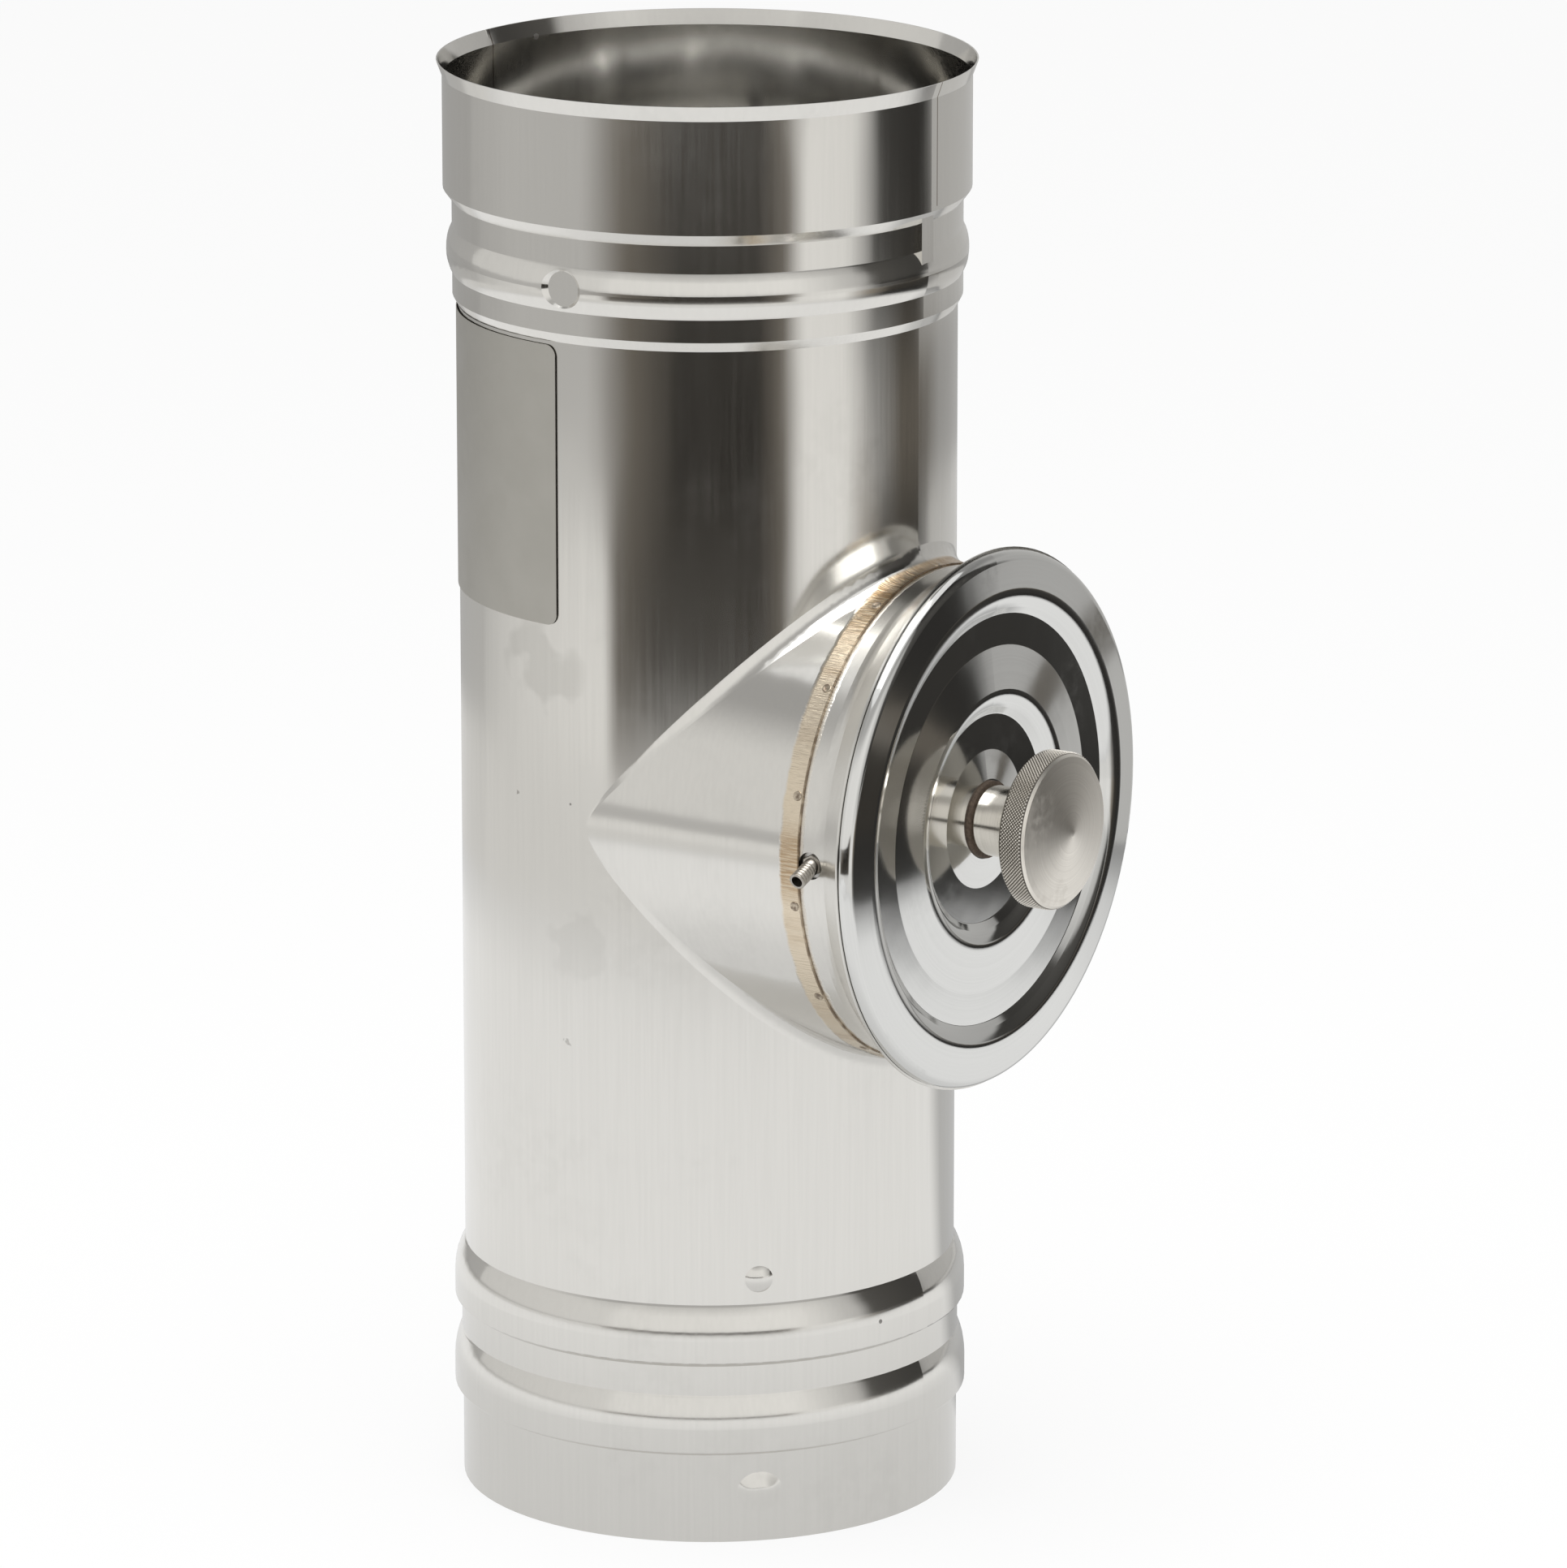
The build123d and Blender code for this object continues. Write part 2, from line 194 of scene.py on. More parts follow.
# rings about the door's axis, from turning and polishing
ringGroup, ins, outs = newGroup("turnedRings", [("Place", vectorKind), ("Pitch", numberKind)],
                                ["Rings", "Radius"])
split = addNode(ringGroup, "ShaderNodeSeparateXYZ")
feed(ringGroup, ins["Place"], split.inputs[0])
across = calc(ringGroup, "POWER", split.outputs["Y"], 2.0)
upward = calc(ringGroup, "POWER", calc(ringGroup, "SUBTRACT", split.outputs["Z"], doorHeight), 2.0)
radius = calc(ringGroup, "SQRT", calc(ringGroup, "ADD", across, upward))
ringPlace = addNode(ringGroup, "ShaderNodeCombineXYZ")
feed(ringGroup, radius, ringPlace.inputs["X"])
feed(ringGroup, split.outputs["X"], ringPlace.inputs["Y"])
ringScale = calc(ringGroup, "DIVIDE", 1.0, ins["Pitch"])
feed(ringGroup, noiseOf(ringGroup, ringPlace.outputs[0], ringScale, 3.0, 0.7), outs["Rings"])
feed(ringGroup, radius, outs["Radius"])

# heat colours and ripples of the seam weld between two places along the door's axis, and a painted shade line
# where the neck ends on the collar
heatGroup, ins, outs = newGroup("weldHeatAndLapShade", [("Place", vectorKind), ("Start", numberKind),
                                             ("End", numberKind)], ["Straw", "Brown", "Ripple", "LapShade"])
split = addNode(heatGroup, "ShaderNodeSeparateXYZ")
feed(heatGroup, ins["Place"], split.inputs[0])
wander = noiseOf(heatGroup, ins["Place"], 260.0, 3.0)
straight = calc(heatGroup, "SUBTRACT", split.outputs["X"], 0.8 * mm)
along = calc(heatGroup, "MULTIPLY_ADD", wander, 1.6 * mm, straight)
lead = remap(heatGroup, along, ins["Start"], calc(heatGroup, "ADD", ins["Start"], 1.2 * mm))
tail = remap(heatGroup, along, calc(heatGroup, "SUBTRACT", ins["End"], 0.8 * mm), ins["End"], 1.0, 0.0)
near = calc(heatGroup, "MULTIPLY", split.outputs["Y"], -1.0)
above = calc(heatGroup, "SUBTRACT", split.outputs["Z"], doorHeight)
angle = calc(heatGroup, "ARCTAN2", above, near)
reach = calc(heatGroup, "SQRT", calc(heatGroup, "ADD", calc(heatGroup, "POWER", near, 2.0),
                                     calc(heatGroup, "POWER", above, 2.0)))
onNeck = remap(heatGroup, reach, neckRadius + 0.6 * mm, neckRadius + 1.4 * mm, 1.0, 0.0)
band = calc(heatGroup, "MULTIPLY", calc(heatGroup, "MULTIPLY", lead, tail), onNeck)
weldPlace = addNode(heatGroup, "ShaderNodeCombineXYZ")
feed(heatGroup, calc(heatGroup, "MULTIPLY", angle, 110.0), weldPlace.inputs["X"])
feed(heatGroup, calc(heatGroup, "MULTIPLY", split.outputs["X"], 120.0), weldPlace.inputs["Y"])
ripple = noiseOf(heatGroup, weldPlace.outputs[0], 1.0, 2.0, 0.6)
patches = noiseOf(heatGroup, weldPlace.outputs[0], 0.06, 2.0)
byPin = remap(heatGroup, calc(heatGroup, "ABSOLUTE", angle), 0.06, 0.2, 0.9, 0.0)
deep = calc(heatGroup, "ADD", remap(heatGroup, patches, 0.5, 0.75, 0.0, 0.6),
            remap(heatGroup, angle, 0.75, 1.25))
deep = calc(heatGroup, "MAXIMUM", deep, byPin)
streaked = calc(heatGroup, "MULTIPLY", deep, remap(heatGroup, ripple, 0.3, 0.7, 0.35, 1.0))
feed(heatGroup, band, outs["Straw"])
feed(heatGroup, calc(heatGroup, "MULTIPLY", band, calc(heatGroup, "MINIMUM", streaked, 1.0)), outs["Brown"])
feed(heatGroup, calc(heatGroup, "MULTIPLY", band, ripple), outs["Ripple"])
# painted shade: a thin dark line on the neck's last half millimetre, where the neck steps down onto the
# collar
edge = remap(heatGroup, split.outputs["X"], neckEnd - 0.55 * mm, neckEnd - 0.3 * mm)
broken = remap(heatGroup, wander, 0.35, 0.6, 0.45, 1.0)
feed(heatGroup, calc(heatGroup, "MULTIPLY", calc(heatGroup, "MULTIPLY", edge, onNeck), broken), outs["LapShade"])

# stains and nicks are (angle from +X in degrees, level, reach, share)
pipeFinish = {
    "colour": (0.71, 0.697, 0.665, 1),
    "roughness": 0.11,
    "collarRoughness": 0.22,
    "grainFineness": 900.0,
    "grainTone": 0.98,
    "grainRoughness": 0.02,
    "smudgeSize": 50.0 * mm,
    "smudgeColour": (0.5, 0.49, 0.46, 1),
    "smudgeShare": 0.1,
    "smudgeRoughness": 0.015,
    "speckSpacing": 11.0 * mm,
    "speckShare": 0.035,
    "speckRoughness": 0.3,
    "heatRoughness": 0.12,
    "stainColour": (0.36, 0.35, 0.325, 1),
    "waveScale": 28.0,
    "strawColour": (0.74, 0.62, 0.45, 1),
    "brownColour": (0.36, 0.23, 0.11, 1),
    # the lap colour is painted shade at the neck's end, and is also the colour of the dark seam lines
    "lapShadeAndSeamColour": (0.13, 0.085, 0.05, 1),
    "speckColour": (0.16, 0.15, 0.14, 1),
    "seamAngles": (2.4, 179.0),
    "seamWidth": 0.45 * mm,
    "seamFoot": 352.0 * mm,
    "stains": [(-98.8, 233.0 * mm, 13.0 * mm, 0.24), (-88.0, 160.0 * mm, 9.0 * mm, 0.1)],
    "nicks": [(-90.9, 133.2 * mm, 1.5 * mm, 0.6), (-106.0, 198.0 * mm, 0.8 * mm, 0.8)],
}


def sheetSteel(name, heatStart, heatEnd, strawShare, brownShare, lapShadeShare, roughness):
    mat, tree, shader, place = newMaterial(name)
    grain = placeGroup(tree, grainGroup, Place=place, Fineness=pipeFinish["grainFineness"])["Grain"]
    smudge = placeGroup(tree, smudgeGroup, Place=place, Size=pipeFinish["smudgeSize"])["Smudge"]
    speck = placeGroup(tree, speckGroup, Place=place, Spacing=pipeFinish["speckSpacing"],
                       Share=pipeFinish["speckShare"])["Speck"]
    heat = placeGroup(tree, heatGroup, Place=place, Start=heatStart, End=heatEnd)
    streak = remap(tree, grain, 0.3, 0.7)
    grainColour = tuple(pipeFinish["grainTone"] * part for part in pipeFinish["colour"][:3]) + (1,)
    toned = blendColour(tree, streak, pipeFinish["colour"], grainColour)
    dulled = blendColour(tree, calc(tree, "MULTIPLY", smudge, pipeFinish["smudgeShare"]), toned,
                         pipeFinish["smudgeColour"])
    straw = blendColour(tree, calc(tree, "MULTIPLY", heat["Straw"], strawShare), dulled,
                        pipeFinish["strawColour"])
    brown = blendColour(tree, calc(tree, "MULTIPLY", heat["Brown"], brownShare), straw,
                        pipeFinish["brownColour"])
    # painted shade at the lap, where the neck ends
    lapped = blendColour(tree, calc(tree, "MULTIPLY", heat["LapShade"], lapShadeShare), brown, pipeFinish["lapShadeAndSeamColour"])
    for turn, level, reach, share in pipeFinish["stains"] + pipeFinish["nicks"]:
        bearing = math.radians(turn)
        spot = (pipeRadius * math.cos(bearing), pipeRadius * math.sin(bearing), level)
        patch = placeGroup(tree, patchGroup, Place=place, Spot=spot, Reach=reach)["Patch"]
        lapped = blendColour(tree, calc(tree, "MULTIPLY", patch, share), lapped, pipeFinish["stainColour"])
    split = addNode(tree, "ShaderNodeSeparateXYZ")
    feed(tree, place, split.inputs[0])
    bearing = calc(tree, "ARCTAN2", split.outputs["Y"], split.outputs["X"])
    inSocket = calc(tree, "GREATER_THAN", split.outputs["Z"], pipeFinish["seamFoot"])
    halfTurn = 0.5 * pipeFinish["seamWidth"] / pipeRadius
    for turn in pipeFinish["seamAngles"]:
        offset = calc(tree, "ABSOLUTE", calc(tree, "SUBTRACT", bearing, math.radians(turn)))
        line = calc(tree, "MULTIPLY", inSocket, remap(tree, offset, 0.6 * halfTurn, halfTurn, 0.8, 0.0))
        lapped = blendColour(tree, line, lapped, pipeFinish["lapShadeAndSeamColour"])
    feed(tree, blendColour(tree, calc(tree, "MULTIPLY", speck, 0.7), lapped, pipeFinish["speckColour"]),
         shader.inputs["Base Color"])
    shader.inputs["Metallic"].default_value = 1
    rough = calc(tree, "MULTIPLY_ADD", streak, pipeFinish["grainRoughness"], roughness)
    rough = calc(tree, "MULTIPLY_ADD", smudge, pipeFinish["smudgeRoughness"], rough)
    rough = calc(tree, "MULTIPLY_ADD", heat["Straw"], pipeFinish["heatRoughness"], rough)
    feed(tree, calc(tree, "MULTIPLY_ADD", speck, pipeFinish["speckRoughness"], rough),
         shader.inputs["Roughness"])
    wavy = noiseOf(tree, scaleVector(tree, place, (1, 1, 0.35)), pipeFinish["waveScale"], 2.0)
    height = calc(tree, "MULTIPLY_ADD", heat["Ripple"], 0.2, calc(tree, "MULTIPLY", wavy, 0.4))
    height = calc(tree, "MULTIPLY_ADD", grain, 0.001, height)
    feed(tree, bumpFrom(tree, height, 1.0, 1.0 * mm), shader.inputs["Normal"])
    return mat


pipeSteel = sheetSteel("pipeSteel", 64.6 * mm, 71.6 * mm, 0.75, 0.9, 0.8, pipeFinish["roughness"])
collarSteel = sheetSteel("collarSteel", 60.0 * mm, 72.2 * mm, 0.3, 0.3, 0.0, pipeFinish["collarRoughness"])

coverFinish = {
    "colour": (0.69, 0.69, 0.675, 1),
    "shade": (0.67, 0.67, 0.655, 1),
    "roughness": 0.075,
    "ringPitch": 0.5 * mm,
    "ringRoughness": 0.015,
    "smudgeSize": 40.0 * mm,
    "smudgeRoughness": 0.05,
    "waveScale": 40.0,
    "waveDepth": 0.08 * mm,
}


def polishedSteel(name):
    mat, tree, shader, place = newMaterial(name)
    rings = placeGroup(tree, ringGroup, Place=place, Pitch=coverFinish["ringPitch"])["Rings"]
    smudge = placeGroup(tree, smudgeGroup, Place=place, Size=coverFinish["smudgeSize"])["Smudge"]
    toned = blendColour(tree, remap(tree, rings, 0.35, 0.65), coverFinish["colour"], coverFinish["shade"])
    feed(tree, toned, shader.inputs["Base Color"])
    shader.inputs["Metallic"].default_value = 1
    rough = calc(tree, "MULTIPLY_ADD", smudge, coverFinish["smudgeRoughness"], coverFinish["roughness"])
    feed(tree, calc(tree, "MULTIPLY_ADD", rings, coverFinish["ringRoughness"], rough),
         shader.inputs["Roughness"])
    wavy = noiseOf(tree, place, coverFinish["waveScale"], 2.0)
    feed(tree, bumpFrom(tree, wavy, 1.0, coverFinish["waveDepth"]), shader.inputs["Normal"])
    return mat


coverSteel = polishedSteel("coverSteel")

knobFinish = {
    "colour": (0.83, 0.795, 0.73, 1),
    "shade": (0.75, 0.715, 0.655, 1),
    # painted shade colour for the knurl's valleys
    "valleyShadeColour": (0.11, 0.1, 0.085, 1),
    "valleyRadius": 20.28 * mm,
    "peakRadius": 20.7 * mm,
    "neckRoughness": 0.1,
    "headRoughness": 0.26,
    "headBack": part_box("knob")[1][0] - 10.5 * mm,
    "ringPitch": 0.35 * mm,
    "ringRoughness": 0.08,
    "smudgeSize": 20.0 * mm,
    "smudgeRoughness": 0.1,
    "stretch": 0.6,
}
pinFinish = {
    "colour": (0.5, 0.48, 0.44, 1),
    "shade": (0.36, 0.33, 0.29, 1),
    "roughness": 0.3,
}


def turnedFinish(name, colour, shade, neckRoughness, headRoughness):
    mat, tree, shader, place = newMaterial(name)
    turned = placeGroup(tree, ringGroup, Place=place, Pitch=knobFinish["ringPitch"])
    rings = turned["Rings"]
    smudge = placeGroup(tree, smudgeGroup, Place=place, Size=knobFinish["smudgeSize"])["Smudge"]
    toned = blendColour(tree, remap(tree, rings, 0.3, 0.7), colour, shade)
    # painted shade: the knurl is coloured darker from its peaks down into its valleys, by radius
    inKnurl = calc(tree, "GREATER_THAN", turned["Radius"], knobFinish["valleyRadius"])
    depth = remap(tree, turned["Radius"], knobFinish["valleyRadius"], knobFinish["peakRadius"], 1.0, 0.0)
    feed(tree, blendColour(tree, calc(tree, "MULTIPLY", inKnurl, depth), toned, knobFinish["valleyShadeColour"]),
         shader.inputs["Base Color"])
    shader.inputs["Metallic"].default_value = 1
    shader.inputs["Anisotropic"].default_value = knobFinish["stretch"]
    split = addNode(tree, "ShaderNodeSeparateXYZ")
    feed(tree, place, split.inputs[0])
    headBack = knobFinish["headBack"]
    rough = remap(tree, split.outputs["X"], headBack - 0.2 * mm, headBack, neckRoughness, headRoughness)
    rough = calc(tree, "MULTIPLY_ADD", rings, knobFinish["ringRoughness"], rough)
    feed(tree, calc(tree, "MULTIPLY_ADD", smudge, knobFinish["smudgeRoughness"], rough),
         shader.inputs["Roughness"])
    tangent = addNode(tree, "ShaderNodeTangent", direction_type="RADIAL", axis="X")
    feed(tree, tangent.outputs[0], shader.inputs["Tangent"])
    feed(tree, bumpFrom(tree, rings, 0.5, 0.03 * mm), shader.inputs["Normal"])
    return mat


knobSteel = turnedFinish("knobSteel", knobFinish["colour"], knobFinish["shade"],
                         knobFinish["neckRoughness"], knobFinish["headRoughness"])
pinSteel = turnedFinish("pinSteel", pinFinish["colour"], pinFinish["shade"],
                        pinFinish["roughness"], pinFinish["roughness"])

plainFinish = {
    "millColour": (0.60, 0.595, 0.58, 1),
    "millShade": (0.5, 0.49, 0.47, 1),
    "millRoughness": 0.28,
    "tackColour": (0.55, 0.48, 0.38, 1),
    "tackShade": (0.22, 0.17, 0.13, 1),
    "rubberColour": (0.035, 0.034, 0.033, 1),
    "rubberShade": (0.055, 0.053, 0.05, 1),
    "fibreColour": (0.075, 0.05, 0.034, 1),
    "fibreShade": (0.14, 0.1, 0.07, 1),
    "mattRoughness": 0.6,
    "filmColour": (0.46, 0.447, 0.41, 1),
    "filmShade": (0.43, 0.417, 0.38, 1),
    "filmMetal": 0.8,
}


def millSteel(name):
    mat, tree, shader, place = newMaterial(name)
    grain = placeGroup(tree, grainGroup, Place=place, Fineness=1500.0)["Grain"]
    smudge = placeGroup(tree, smudgeGroup, Place=place, Size=0.015)["Smudge"]
    toned = blendColour(tree, remap(tree, grain, 0.3, 0.7), plainFinish["millColour"],
                        plainFinish["millShade"])
    feed(tree, toned, shader.inputs["Base Color"])
    shader.inputs["Metallic"].default_value = 1
    feed(tree, calc(tree, "MULTIPLY_ADD", smudge, 0.15, plainFinish["millRoughness"]),
         shader.inputs["Roughness"])
    feed(tree, bumpFrom(tree, grain, 0.6, 0.03 * mm), shader.inputs["Normal"])
    return mat


def tackSteel(name):
    mat, tree, shader, place = newMaterial(name)
    patches = noiseOf(tree, place, 900.0, 3.0)
    toned = blendColour(tree, remap(tree, patches, 0.35, 0.65), plainFinish["tackColour"],
                        plainFinish["tackShade"])
    feed(tree, toned, shader.inputs["Base Color"])
    shader.inputs["Metallic"].default_value = 1
    feed(tree, remap(tree, patches, 0.3, 0.7, 0.2, 0.42), shader.inputs["Roughness"])
    return mat


def mattFinish(name, colour, shade, scale, depth):
    mat, tree, shader, place = newMaterial(name)
    roughness = plainFinish["mattRoughness"]
    mottle = noiseOf(tree, place, scale, 5.0, 0.65)
    feed(tree, blendColour(tree, remap(tree, mottle, 0.35, 0.65), colour, shade), shader.inputs["Base Color"])
    feed(tree, remap(tree, mottle, 0.3, 0.7, roughness, roughness + 0.12), shader.inputs["Roughness"])
    feed(tree, bumpFrom(tree, mottle, 1.0, depth), shader.inputs["Normal"])
    return mat


def labelFilm(name):
    mat, tree, shader, place = newMaterial(name)
    mottle = noiseOf(tree, place, 60.0, 4.0)
    toned = blendColour(tree, remap(tree, mottle, 0.3, 0.7), plainFinish["filmColour"],
                        plainFinish["filmShade"])
    feed(tree, toned, shader.inputs["Base Color"])
    shader.inputs["Metallic"].default_value = plainFinish["filmMetal"]
    feed(tree, remap(tree, mottle, 0.3, 0.7, 0.30, 0.36), shader.inputs["Roughness"])
    fine = noiseOf(tree, place, 2500.0, 2.0)
    feed(tree, bumpFrom(tree, fine, 0.4, 0.02 * mm), shader.inputs["Normal"])
    return mat


hiddenSteel = millSteel("hiddenSteel")
tackFinish = tackSteel("tackFinish")
sealRubber = mattFinish("sealRubber", plainFinish["rubberColour"], plainFinish["rubberShade"],
                        700.0, 0.03 * mm)
brownFibre = mattFinish("brownFibre", plainFinish["fibreColour"], plainFinish["fibreShade"],
                        1400.0, 0.04 * mm)
greyFilm = labelFilm("greyFilm")

finishOfNode = {
    "pipe_body": pipeSteel, "door_collar": collarSteel, "door_cover": coverSteel, "knob": knobSteel,
    "bar_pin_near": pinSteel, "bar_pin_far": pinSteel, "label_film": greyFilm,
    "door_gasket": sealRubber, "hub_washer": brownFibre, "cross_bar": hiddenSteel,
    "bar_bush": hiddenSteel, "inner_washer": hiddenSteel, "spindle": hiddenSteel,
    "retaining_ring": hiddenSteel,
}
for name, finish in finishOfNode.items():
    piece = nodes[name]
    piece.data.materials.clear()
    piece.data.materials.append(finish)
print("finishes set on", len(finishOfNode), "nodes")


def turnOutline(name, outline, steps):
    # an outline of (along, radius) points is drawn point by point and spun about the X axis
    clearSelection()
    bpy.ops.mesh.primitive_plane_add(size=mm, location=(0, 0, 0))
    piece = bpy.context.object
    piece.name = name
    bpy.ops.object.mode_set(mode="EDIT")
    bpy.ops.mesh.select_mode(type="VERT")
    bpy.ops.mesh.merge(type="CENTER")
    bpy.ops.transform.translate(value=(outline[0][0], 0, outline[0][1]))
    for before, after in zip(outline, outline[1:]):
        step = (after[0] - before[0], 0, after[1] - before[1])
        bpy.ops.mesh.extrude_vertices_move(TRANSFORM_OT_translate={"value": step})
    bpy.ops.mesh.select_all(action="SELECT")
    bpy.ops.mesh.spin(steps=steps, angle=2 * math.pi, center=(0, 0, 0), axis=(1, 0, 0))
    bpy.ops.mesh.select_all(action="SELECT")
    bpy.ops.mesh.remove_doubles(threshold=0.005 * mm)
    bpy.ops.mesh.normals_make_consistent(inside=False)
    bpy.ops.object.mode_set(mode="OBJECT")
    return piece


def standAt(piece, place, way):
    # turns the piece's X axis along way, stands it at place and leaves its object at the origin
    makeActive(piece)
    piece.rotation_mode = "QUATERNION"
    piece.rotation_quaternion = Vector((1, 0, 0)).rotation_difference(Vector(way))
    piece.location = place
    bpy.ops.object.transform_apply(location=True, rotation=True, scale=True)
    piece.rotation_mode = "XYZ"


def joinInto(piece, others):
    makeActive(piece)
    for other in others:
        other.select_set(True)
    bpy.ops.object.join()


def dress(piece, finish, body, smoothAngle):
    piece.data.materials.clear()
    piece.data.materials.append(finish)
    makeActive(piece)
    bpy.ops.object.shade_smooth_by_angle(angle=math.radians(smoothAngle))
    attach(piece, body)


def selectFaces(piece, test):
    makeActive(piece)
    bpy.ops.object.mode_set(mode="EDIT")
    bpy.ops.mesh.select_mode(type="FACE")
    bpy.ops.mesh.select_all(action="DESELECT")
    bpy.ops.object.mode_set(mode="OBJECT")
    for face in piece.data.polygons:
        face.select = test(face)
    bpy.ops.object.mode_set(mode="EDIT")


# knob: turned neck and head, with a knurl of raised diamonds round the head
knobShape = {
    "neckRadius": 9.3 * mm,
    "neckFillet": 0.5 * mm,
    "socketRadius": 4.0 * mm,
    "socketDepth": 10.0 * mm,
    "headRadius": 20.8 * mm,
    "headWidth": 7.6 * mm,
    "backChamfer": 0.45 * mm,
    "frontChamfer": 0.7 * mm,
    "coneHeight": 2.9 * mm,
    "tipRadius": 1.2 * mm,
    "tipShare": 0.05,
    "knurlDepth": 0.45 * mm,
    "knurlColumns": 132,
    "knurlRows": 7,
}


def makeKnob(shape):
    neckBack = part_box("knob")[0][0]
    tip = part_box("knob")[1][0]
    headFront = tip - shape["coneHeight"]
    headBack = headFront - shape["headWidth"]
    root = shape["headRadius"] - shape["knurlDepth"]
    bandBack = headBack + shape["backChamfer"]
    bandFront = headFront - shape["frontChamfer"]
    rowWidth = (bandFront - bandBack) / shape["knurlRows"]
    nearRoot = root - 0.1 * mm
    neck = shape["neckRadius"]
    outline = [(neckBack + shape["socketDepth"], 0), (neckBack + shape["socketDepth"], shape["socketRadius"]),
               (neckBack, shape["socketRadius"]), (neckBack, neck - shape["neckFillet"] / 2),
               (neckBack + shape["neckFillet"] / 2, neck), (headBack - shape["neckFillet"], neck),
               (headBack, neck + shape["neckFillet"]), (headBack, root - shape["backChamfer"])]
    outline += [(bandBack + rowWidth * row, root) for row in range(shape["knurlRows"] + 1)]
    outline += [(headFront, root - shape["frontChamfer"]),
                (tip - shape["tipShare"] * shape["coneHeight"], shape["tipRadius"]), (tip, 0)]
    knob = turnOutline("turnedKnob", outline, shape["knurlColumns"])

    def inBand(face):
        far = math.hypot(face.center.y, face.center.z)
        return bandBack < face.center.x < bandFront and far > nearRoot

    # squares of the band become a lattice of diamonds, and each diamond is poked up to a point
    squareCorners = len(knob.data.vertices)
    selectFaces(knob, inBand)
    bpy.ops.mesh.poke(offset=0)
    bpy.ops.mesh.select_mode(type="EDGE")
    bpy.ops.mesh.select_all(action="DESELECT")
    bpy.ops.object.mode_set(mode="OBJECT")
    points = knob.data.vertices
    edgeRoom = rowWidth / 4
    for edge in knob.data.edges:
        ends = [points[index].co for index in edge.vertices]
        onRoot = all(math.hypot(end.y, end.z) > nearRoot for end in ends)
        middle = (ends[0].x + ends[1].x) / 2
        old = max(edge.vertices) < squareCorners
        edge.select = old and onRoot and bandBack + edgeRoom < middle < bandFront - edgeRoom
    bpy.ops.object.mode_set(mode="EDIT")
    bpy.ops.mesh.dissolve_edges(use_verts=False, use_face_split=False)
    selectFaces(knob, lambda face: inBand(face) and len(face.vertices) == 4)
    bpy.ops.mesh.poke(offset=shape["knurlDepth"])
    bpy.ops.object.mode_set(mode="OBJECT")
    standAt(knob, (0, 0, doorHeight), (1, 0, 0))
    dress(knob, knobSteel, "knob", 28)
    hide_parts("knob")
    return knob


knob = makeKnob(knobShape)
print("knob knurled:", len(knob.data.polygons), "faces")

# spindle: plain shank with a screw thread at its inner end
spindleShape = {
    "radius": 4.0 * mm,
    "threadDepth": 0.62 * mm,
    "threadPitch": 1.25 * mm,
    "threadLength": 22.0 * mm,
    "threadShare": 0.46,
    "tipChamfer": 0.9 * mm,
    "sides": 48,
    "threadSides": 28,
}


def makeSpindle(shape):
    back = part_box("spindle")[0][0]
    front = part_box("spindle")[1][0]
    full = shape["radius"]
    root = full - shape["threadDepth"]
    threadEnd = back + shape["threadLength"]
    outline = [(back, 0), (back, root - shape["tipChamfer"]), (back + shape["tipChamfer"], root),
               (threadEnd, root), (threadEnd + shape["threadDepth"], full), (front, full), (front, 0)]
    spindle = turnOutline("screwSpindle", outline, shape["sides"])
    # one three sided turn of thread, wound along the shank by a screw modifier
    clearSelection()
    half = shape["threadPitch"] * shape["threadShare"]
    bpy.ops.mesh.primitive_circle_add(vertices=3, radius=shape["threadDepth"], rotation=(math.pi / 2, 0, 0),
                                      location=(back + shape["tipChamfer"] + half, 0, root))
    thread = bpy.context.object
    thread.scale = (half / (shape["threadDepth"] * math.sin(math.pi / 3)), 1, 1)
    bpy.ops.object.transform_apply(location=True, rotation=True, scale=True)
    winding = thread.modifiers.new("winding", "SCREW")
    winding.axis = "X"
    winding.angle = 2 * math.pi
    winding.screw_offset = shape["threadPitch"]
    winding.iterations = int((shape["threadLength"] - shape["tipChamfer"]) / shape["threadPitch"]) - 1
    winding.steps = shape["threadSides"]
    winding.render_steps = shape["threadSides"]
    bpy.ops.object.modifier_apply(modifier=winding.name)
    bpy.ops.object.mode_set(mode="EDIT")
    bpy.ops.mesh.select_all(action="SELECT")
    bpy.ops.mesh.fill_holes(sides=3)
    bpy.ops.mesh.select_all(action="SELECT")
    bpy.ops.mesh.normals_make_consistent(inside=False)
    bpy.ops.object.mode_set(mode="OBJECT")
    joinInto(spindle, [thread])
    standAt(spindle, (0, 0, doorHeight), (1, 0, 0))
    dress(spindle, hiddenSteel, "knob", 35)
    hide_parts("spindle")


makeSpindle(spindleShape)
print("spindle threaded")

# pins: hollow ribbed pegs on six sided feet, the near one leaning down
pinShape = {
    "radius": 2.2 * mm,
    "boreRadius": 1.55 * mm,
    "length": 8.03 * mm,
    "ribs": 6,
    "ribDepth": 0.2 * mm,
    "ribStart": 2.0 * mm,
    "tipChamfer": 0.12 * mm,
    "footRadius": 2.95 * mm,
    "footHeight": 0.9 * mm,
    "footSides": 6,
    "sides": 40,
    "droop": 20,
}


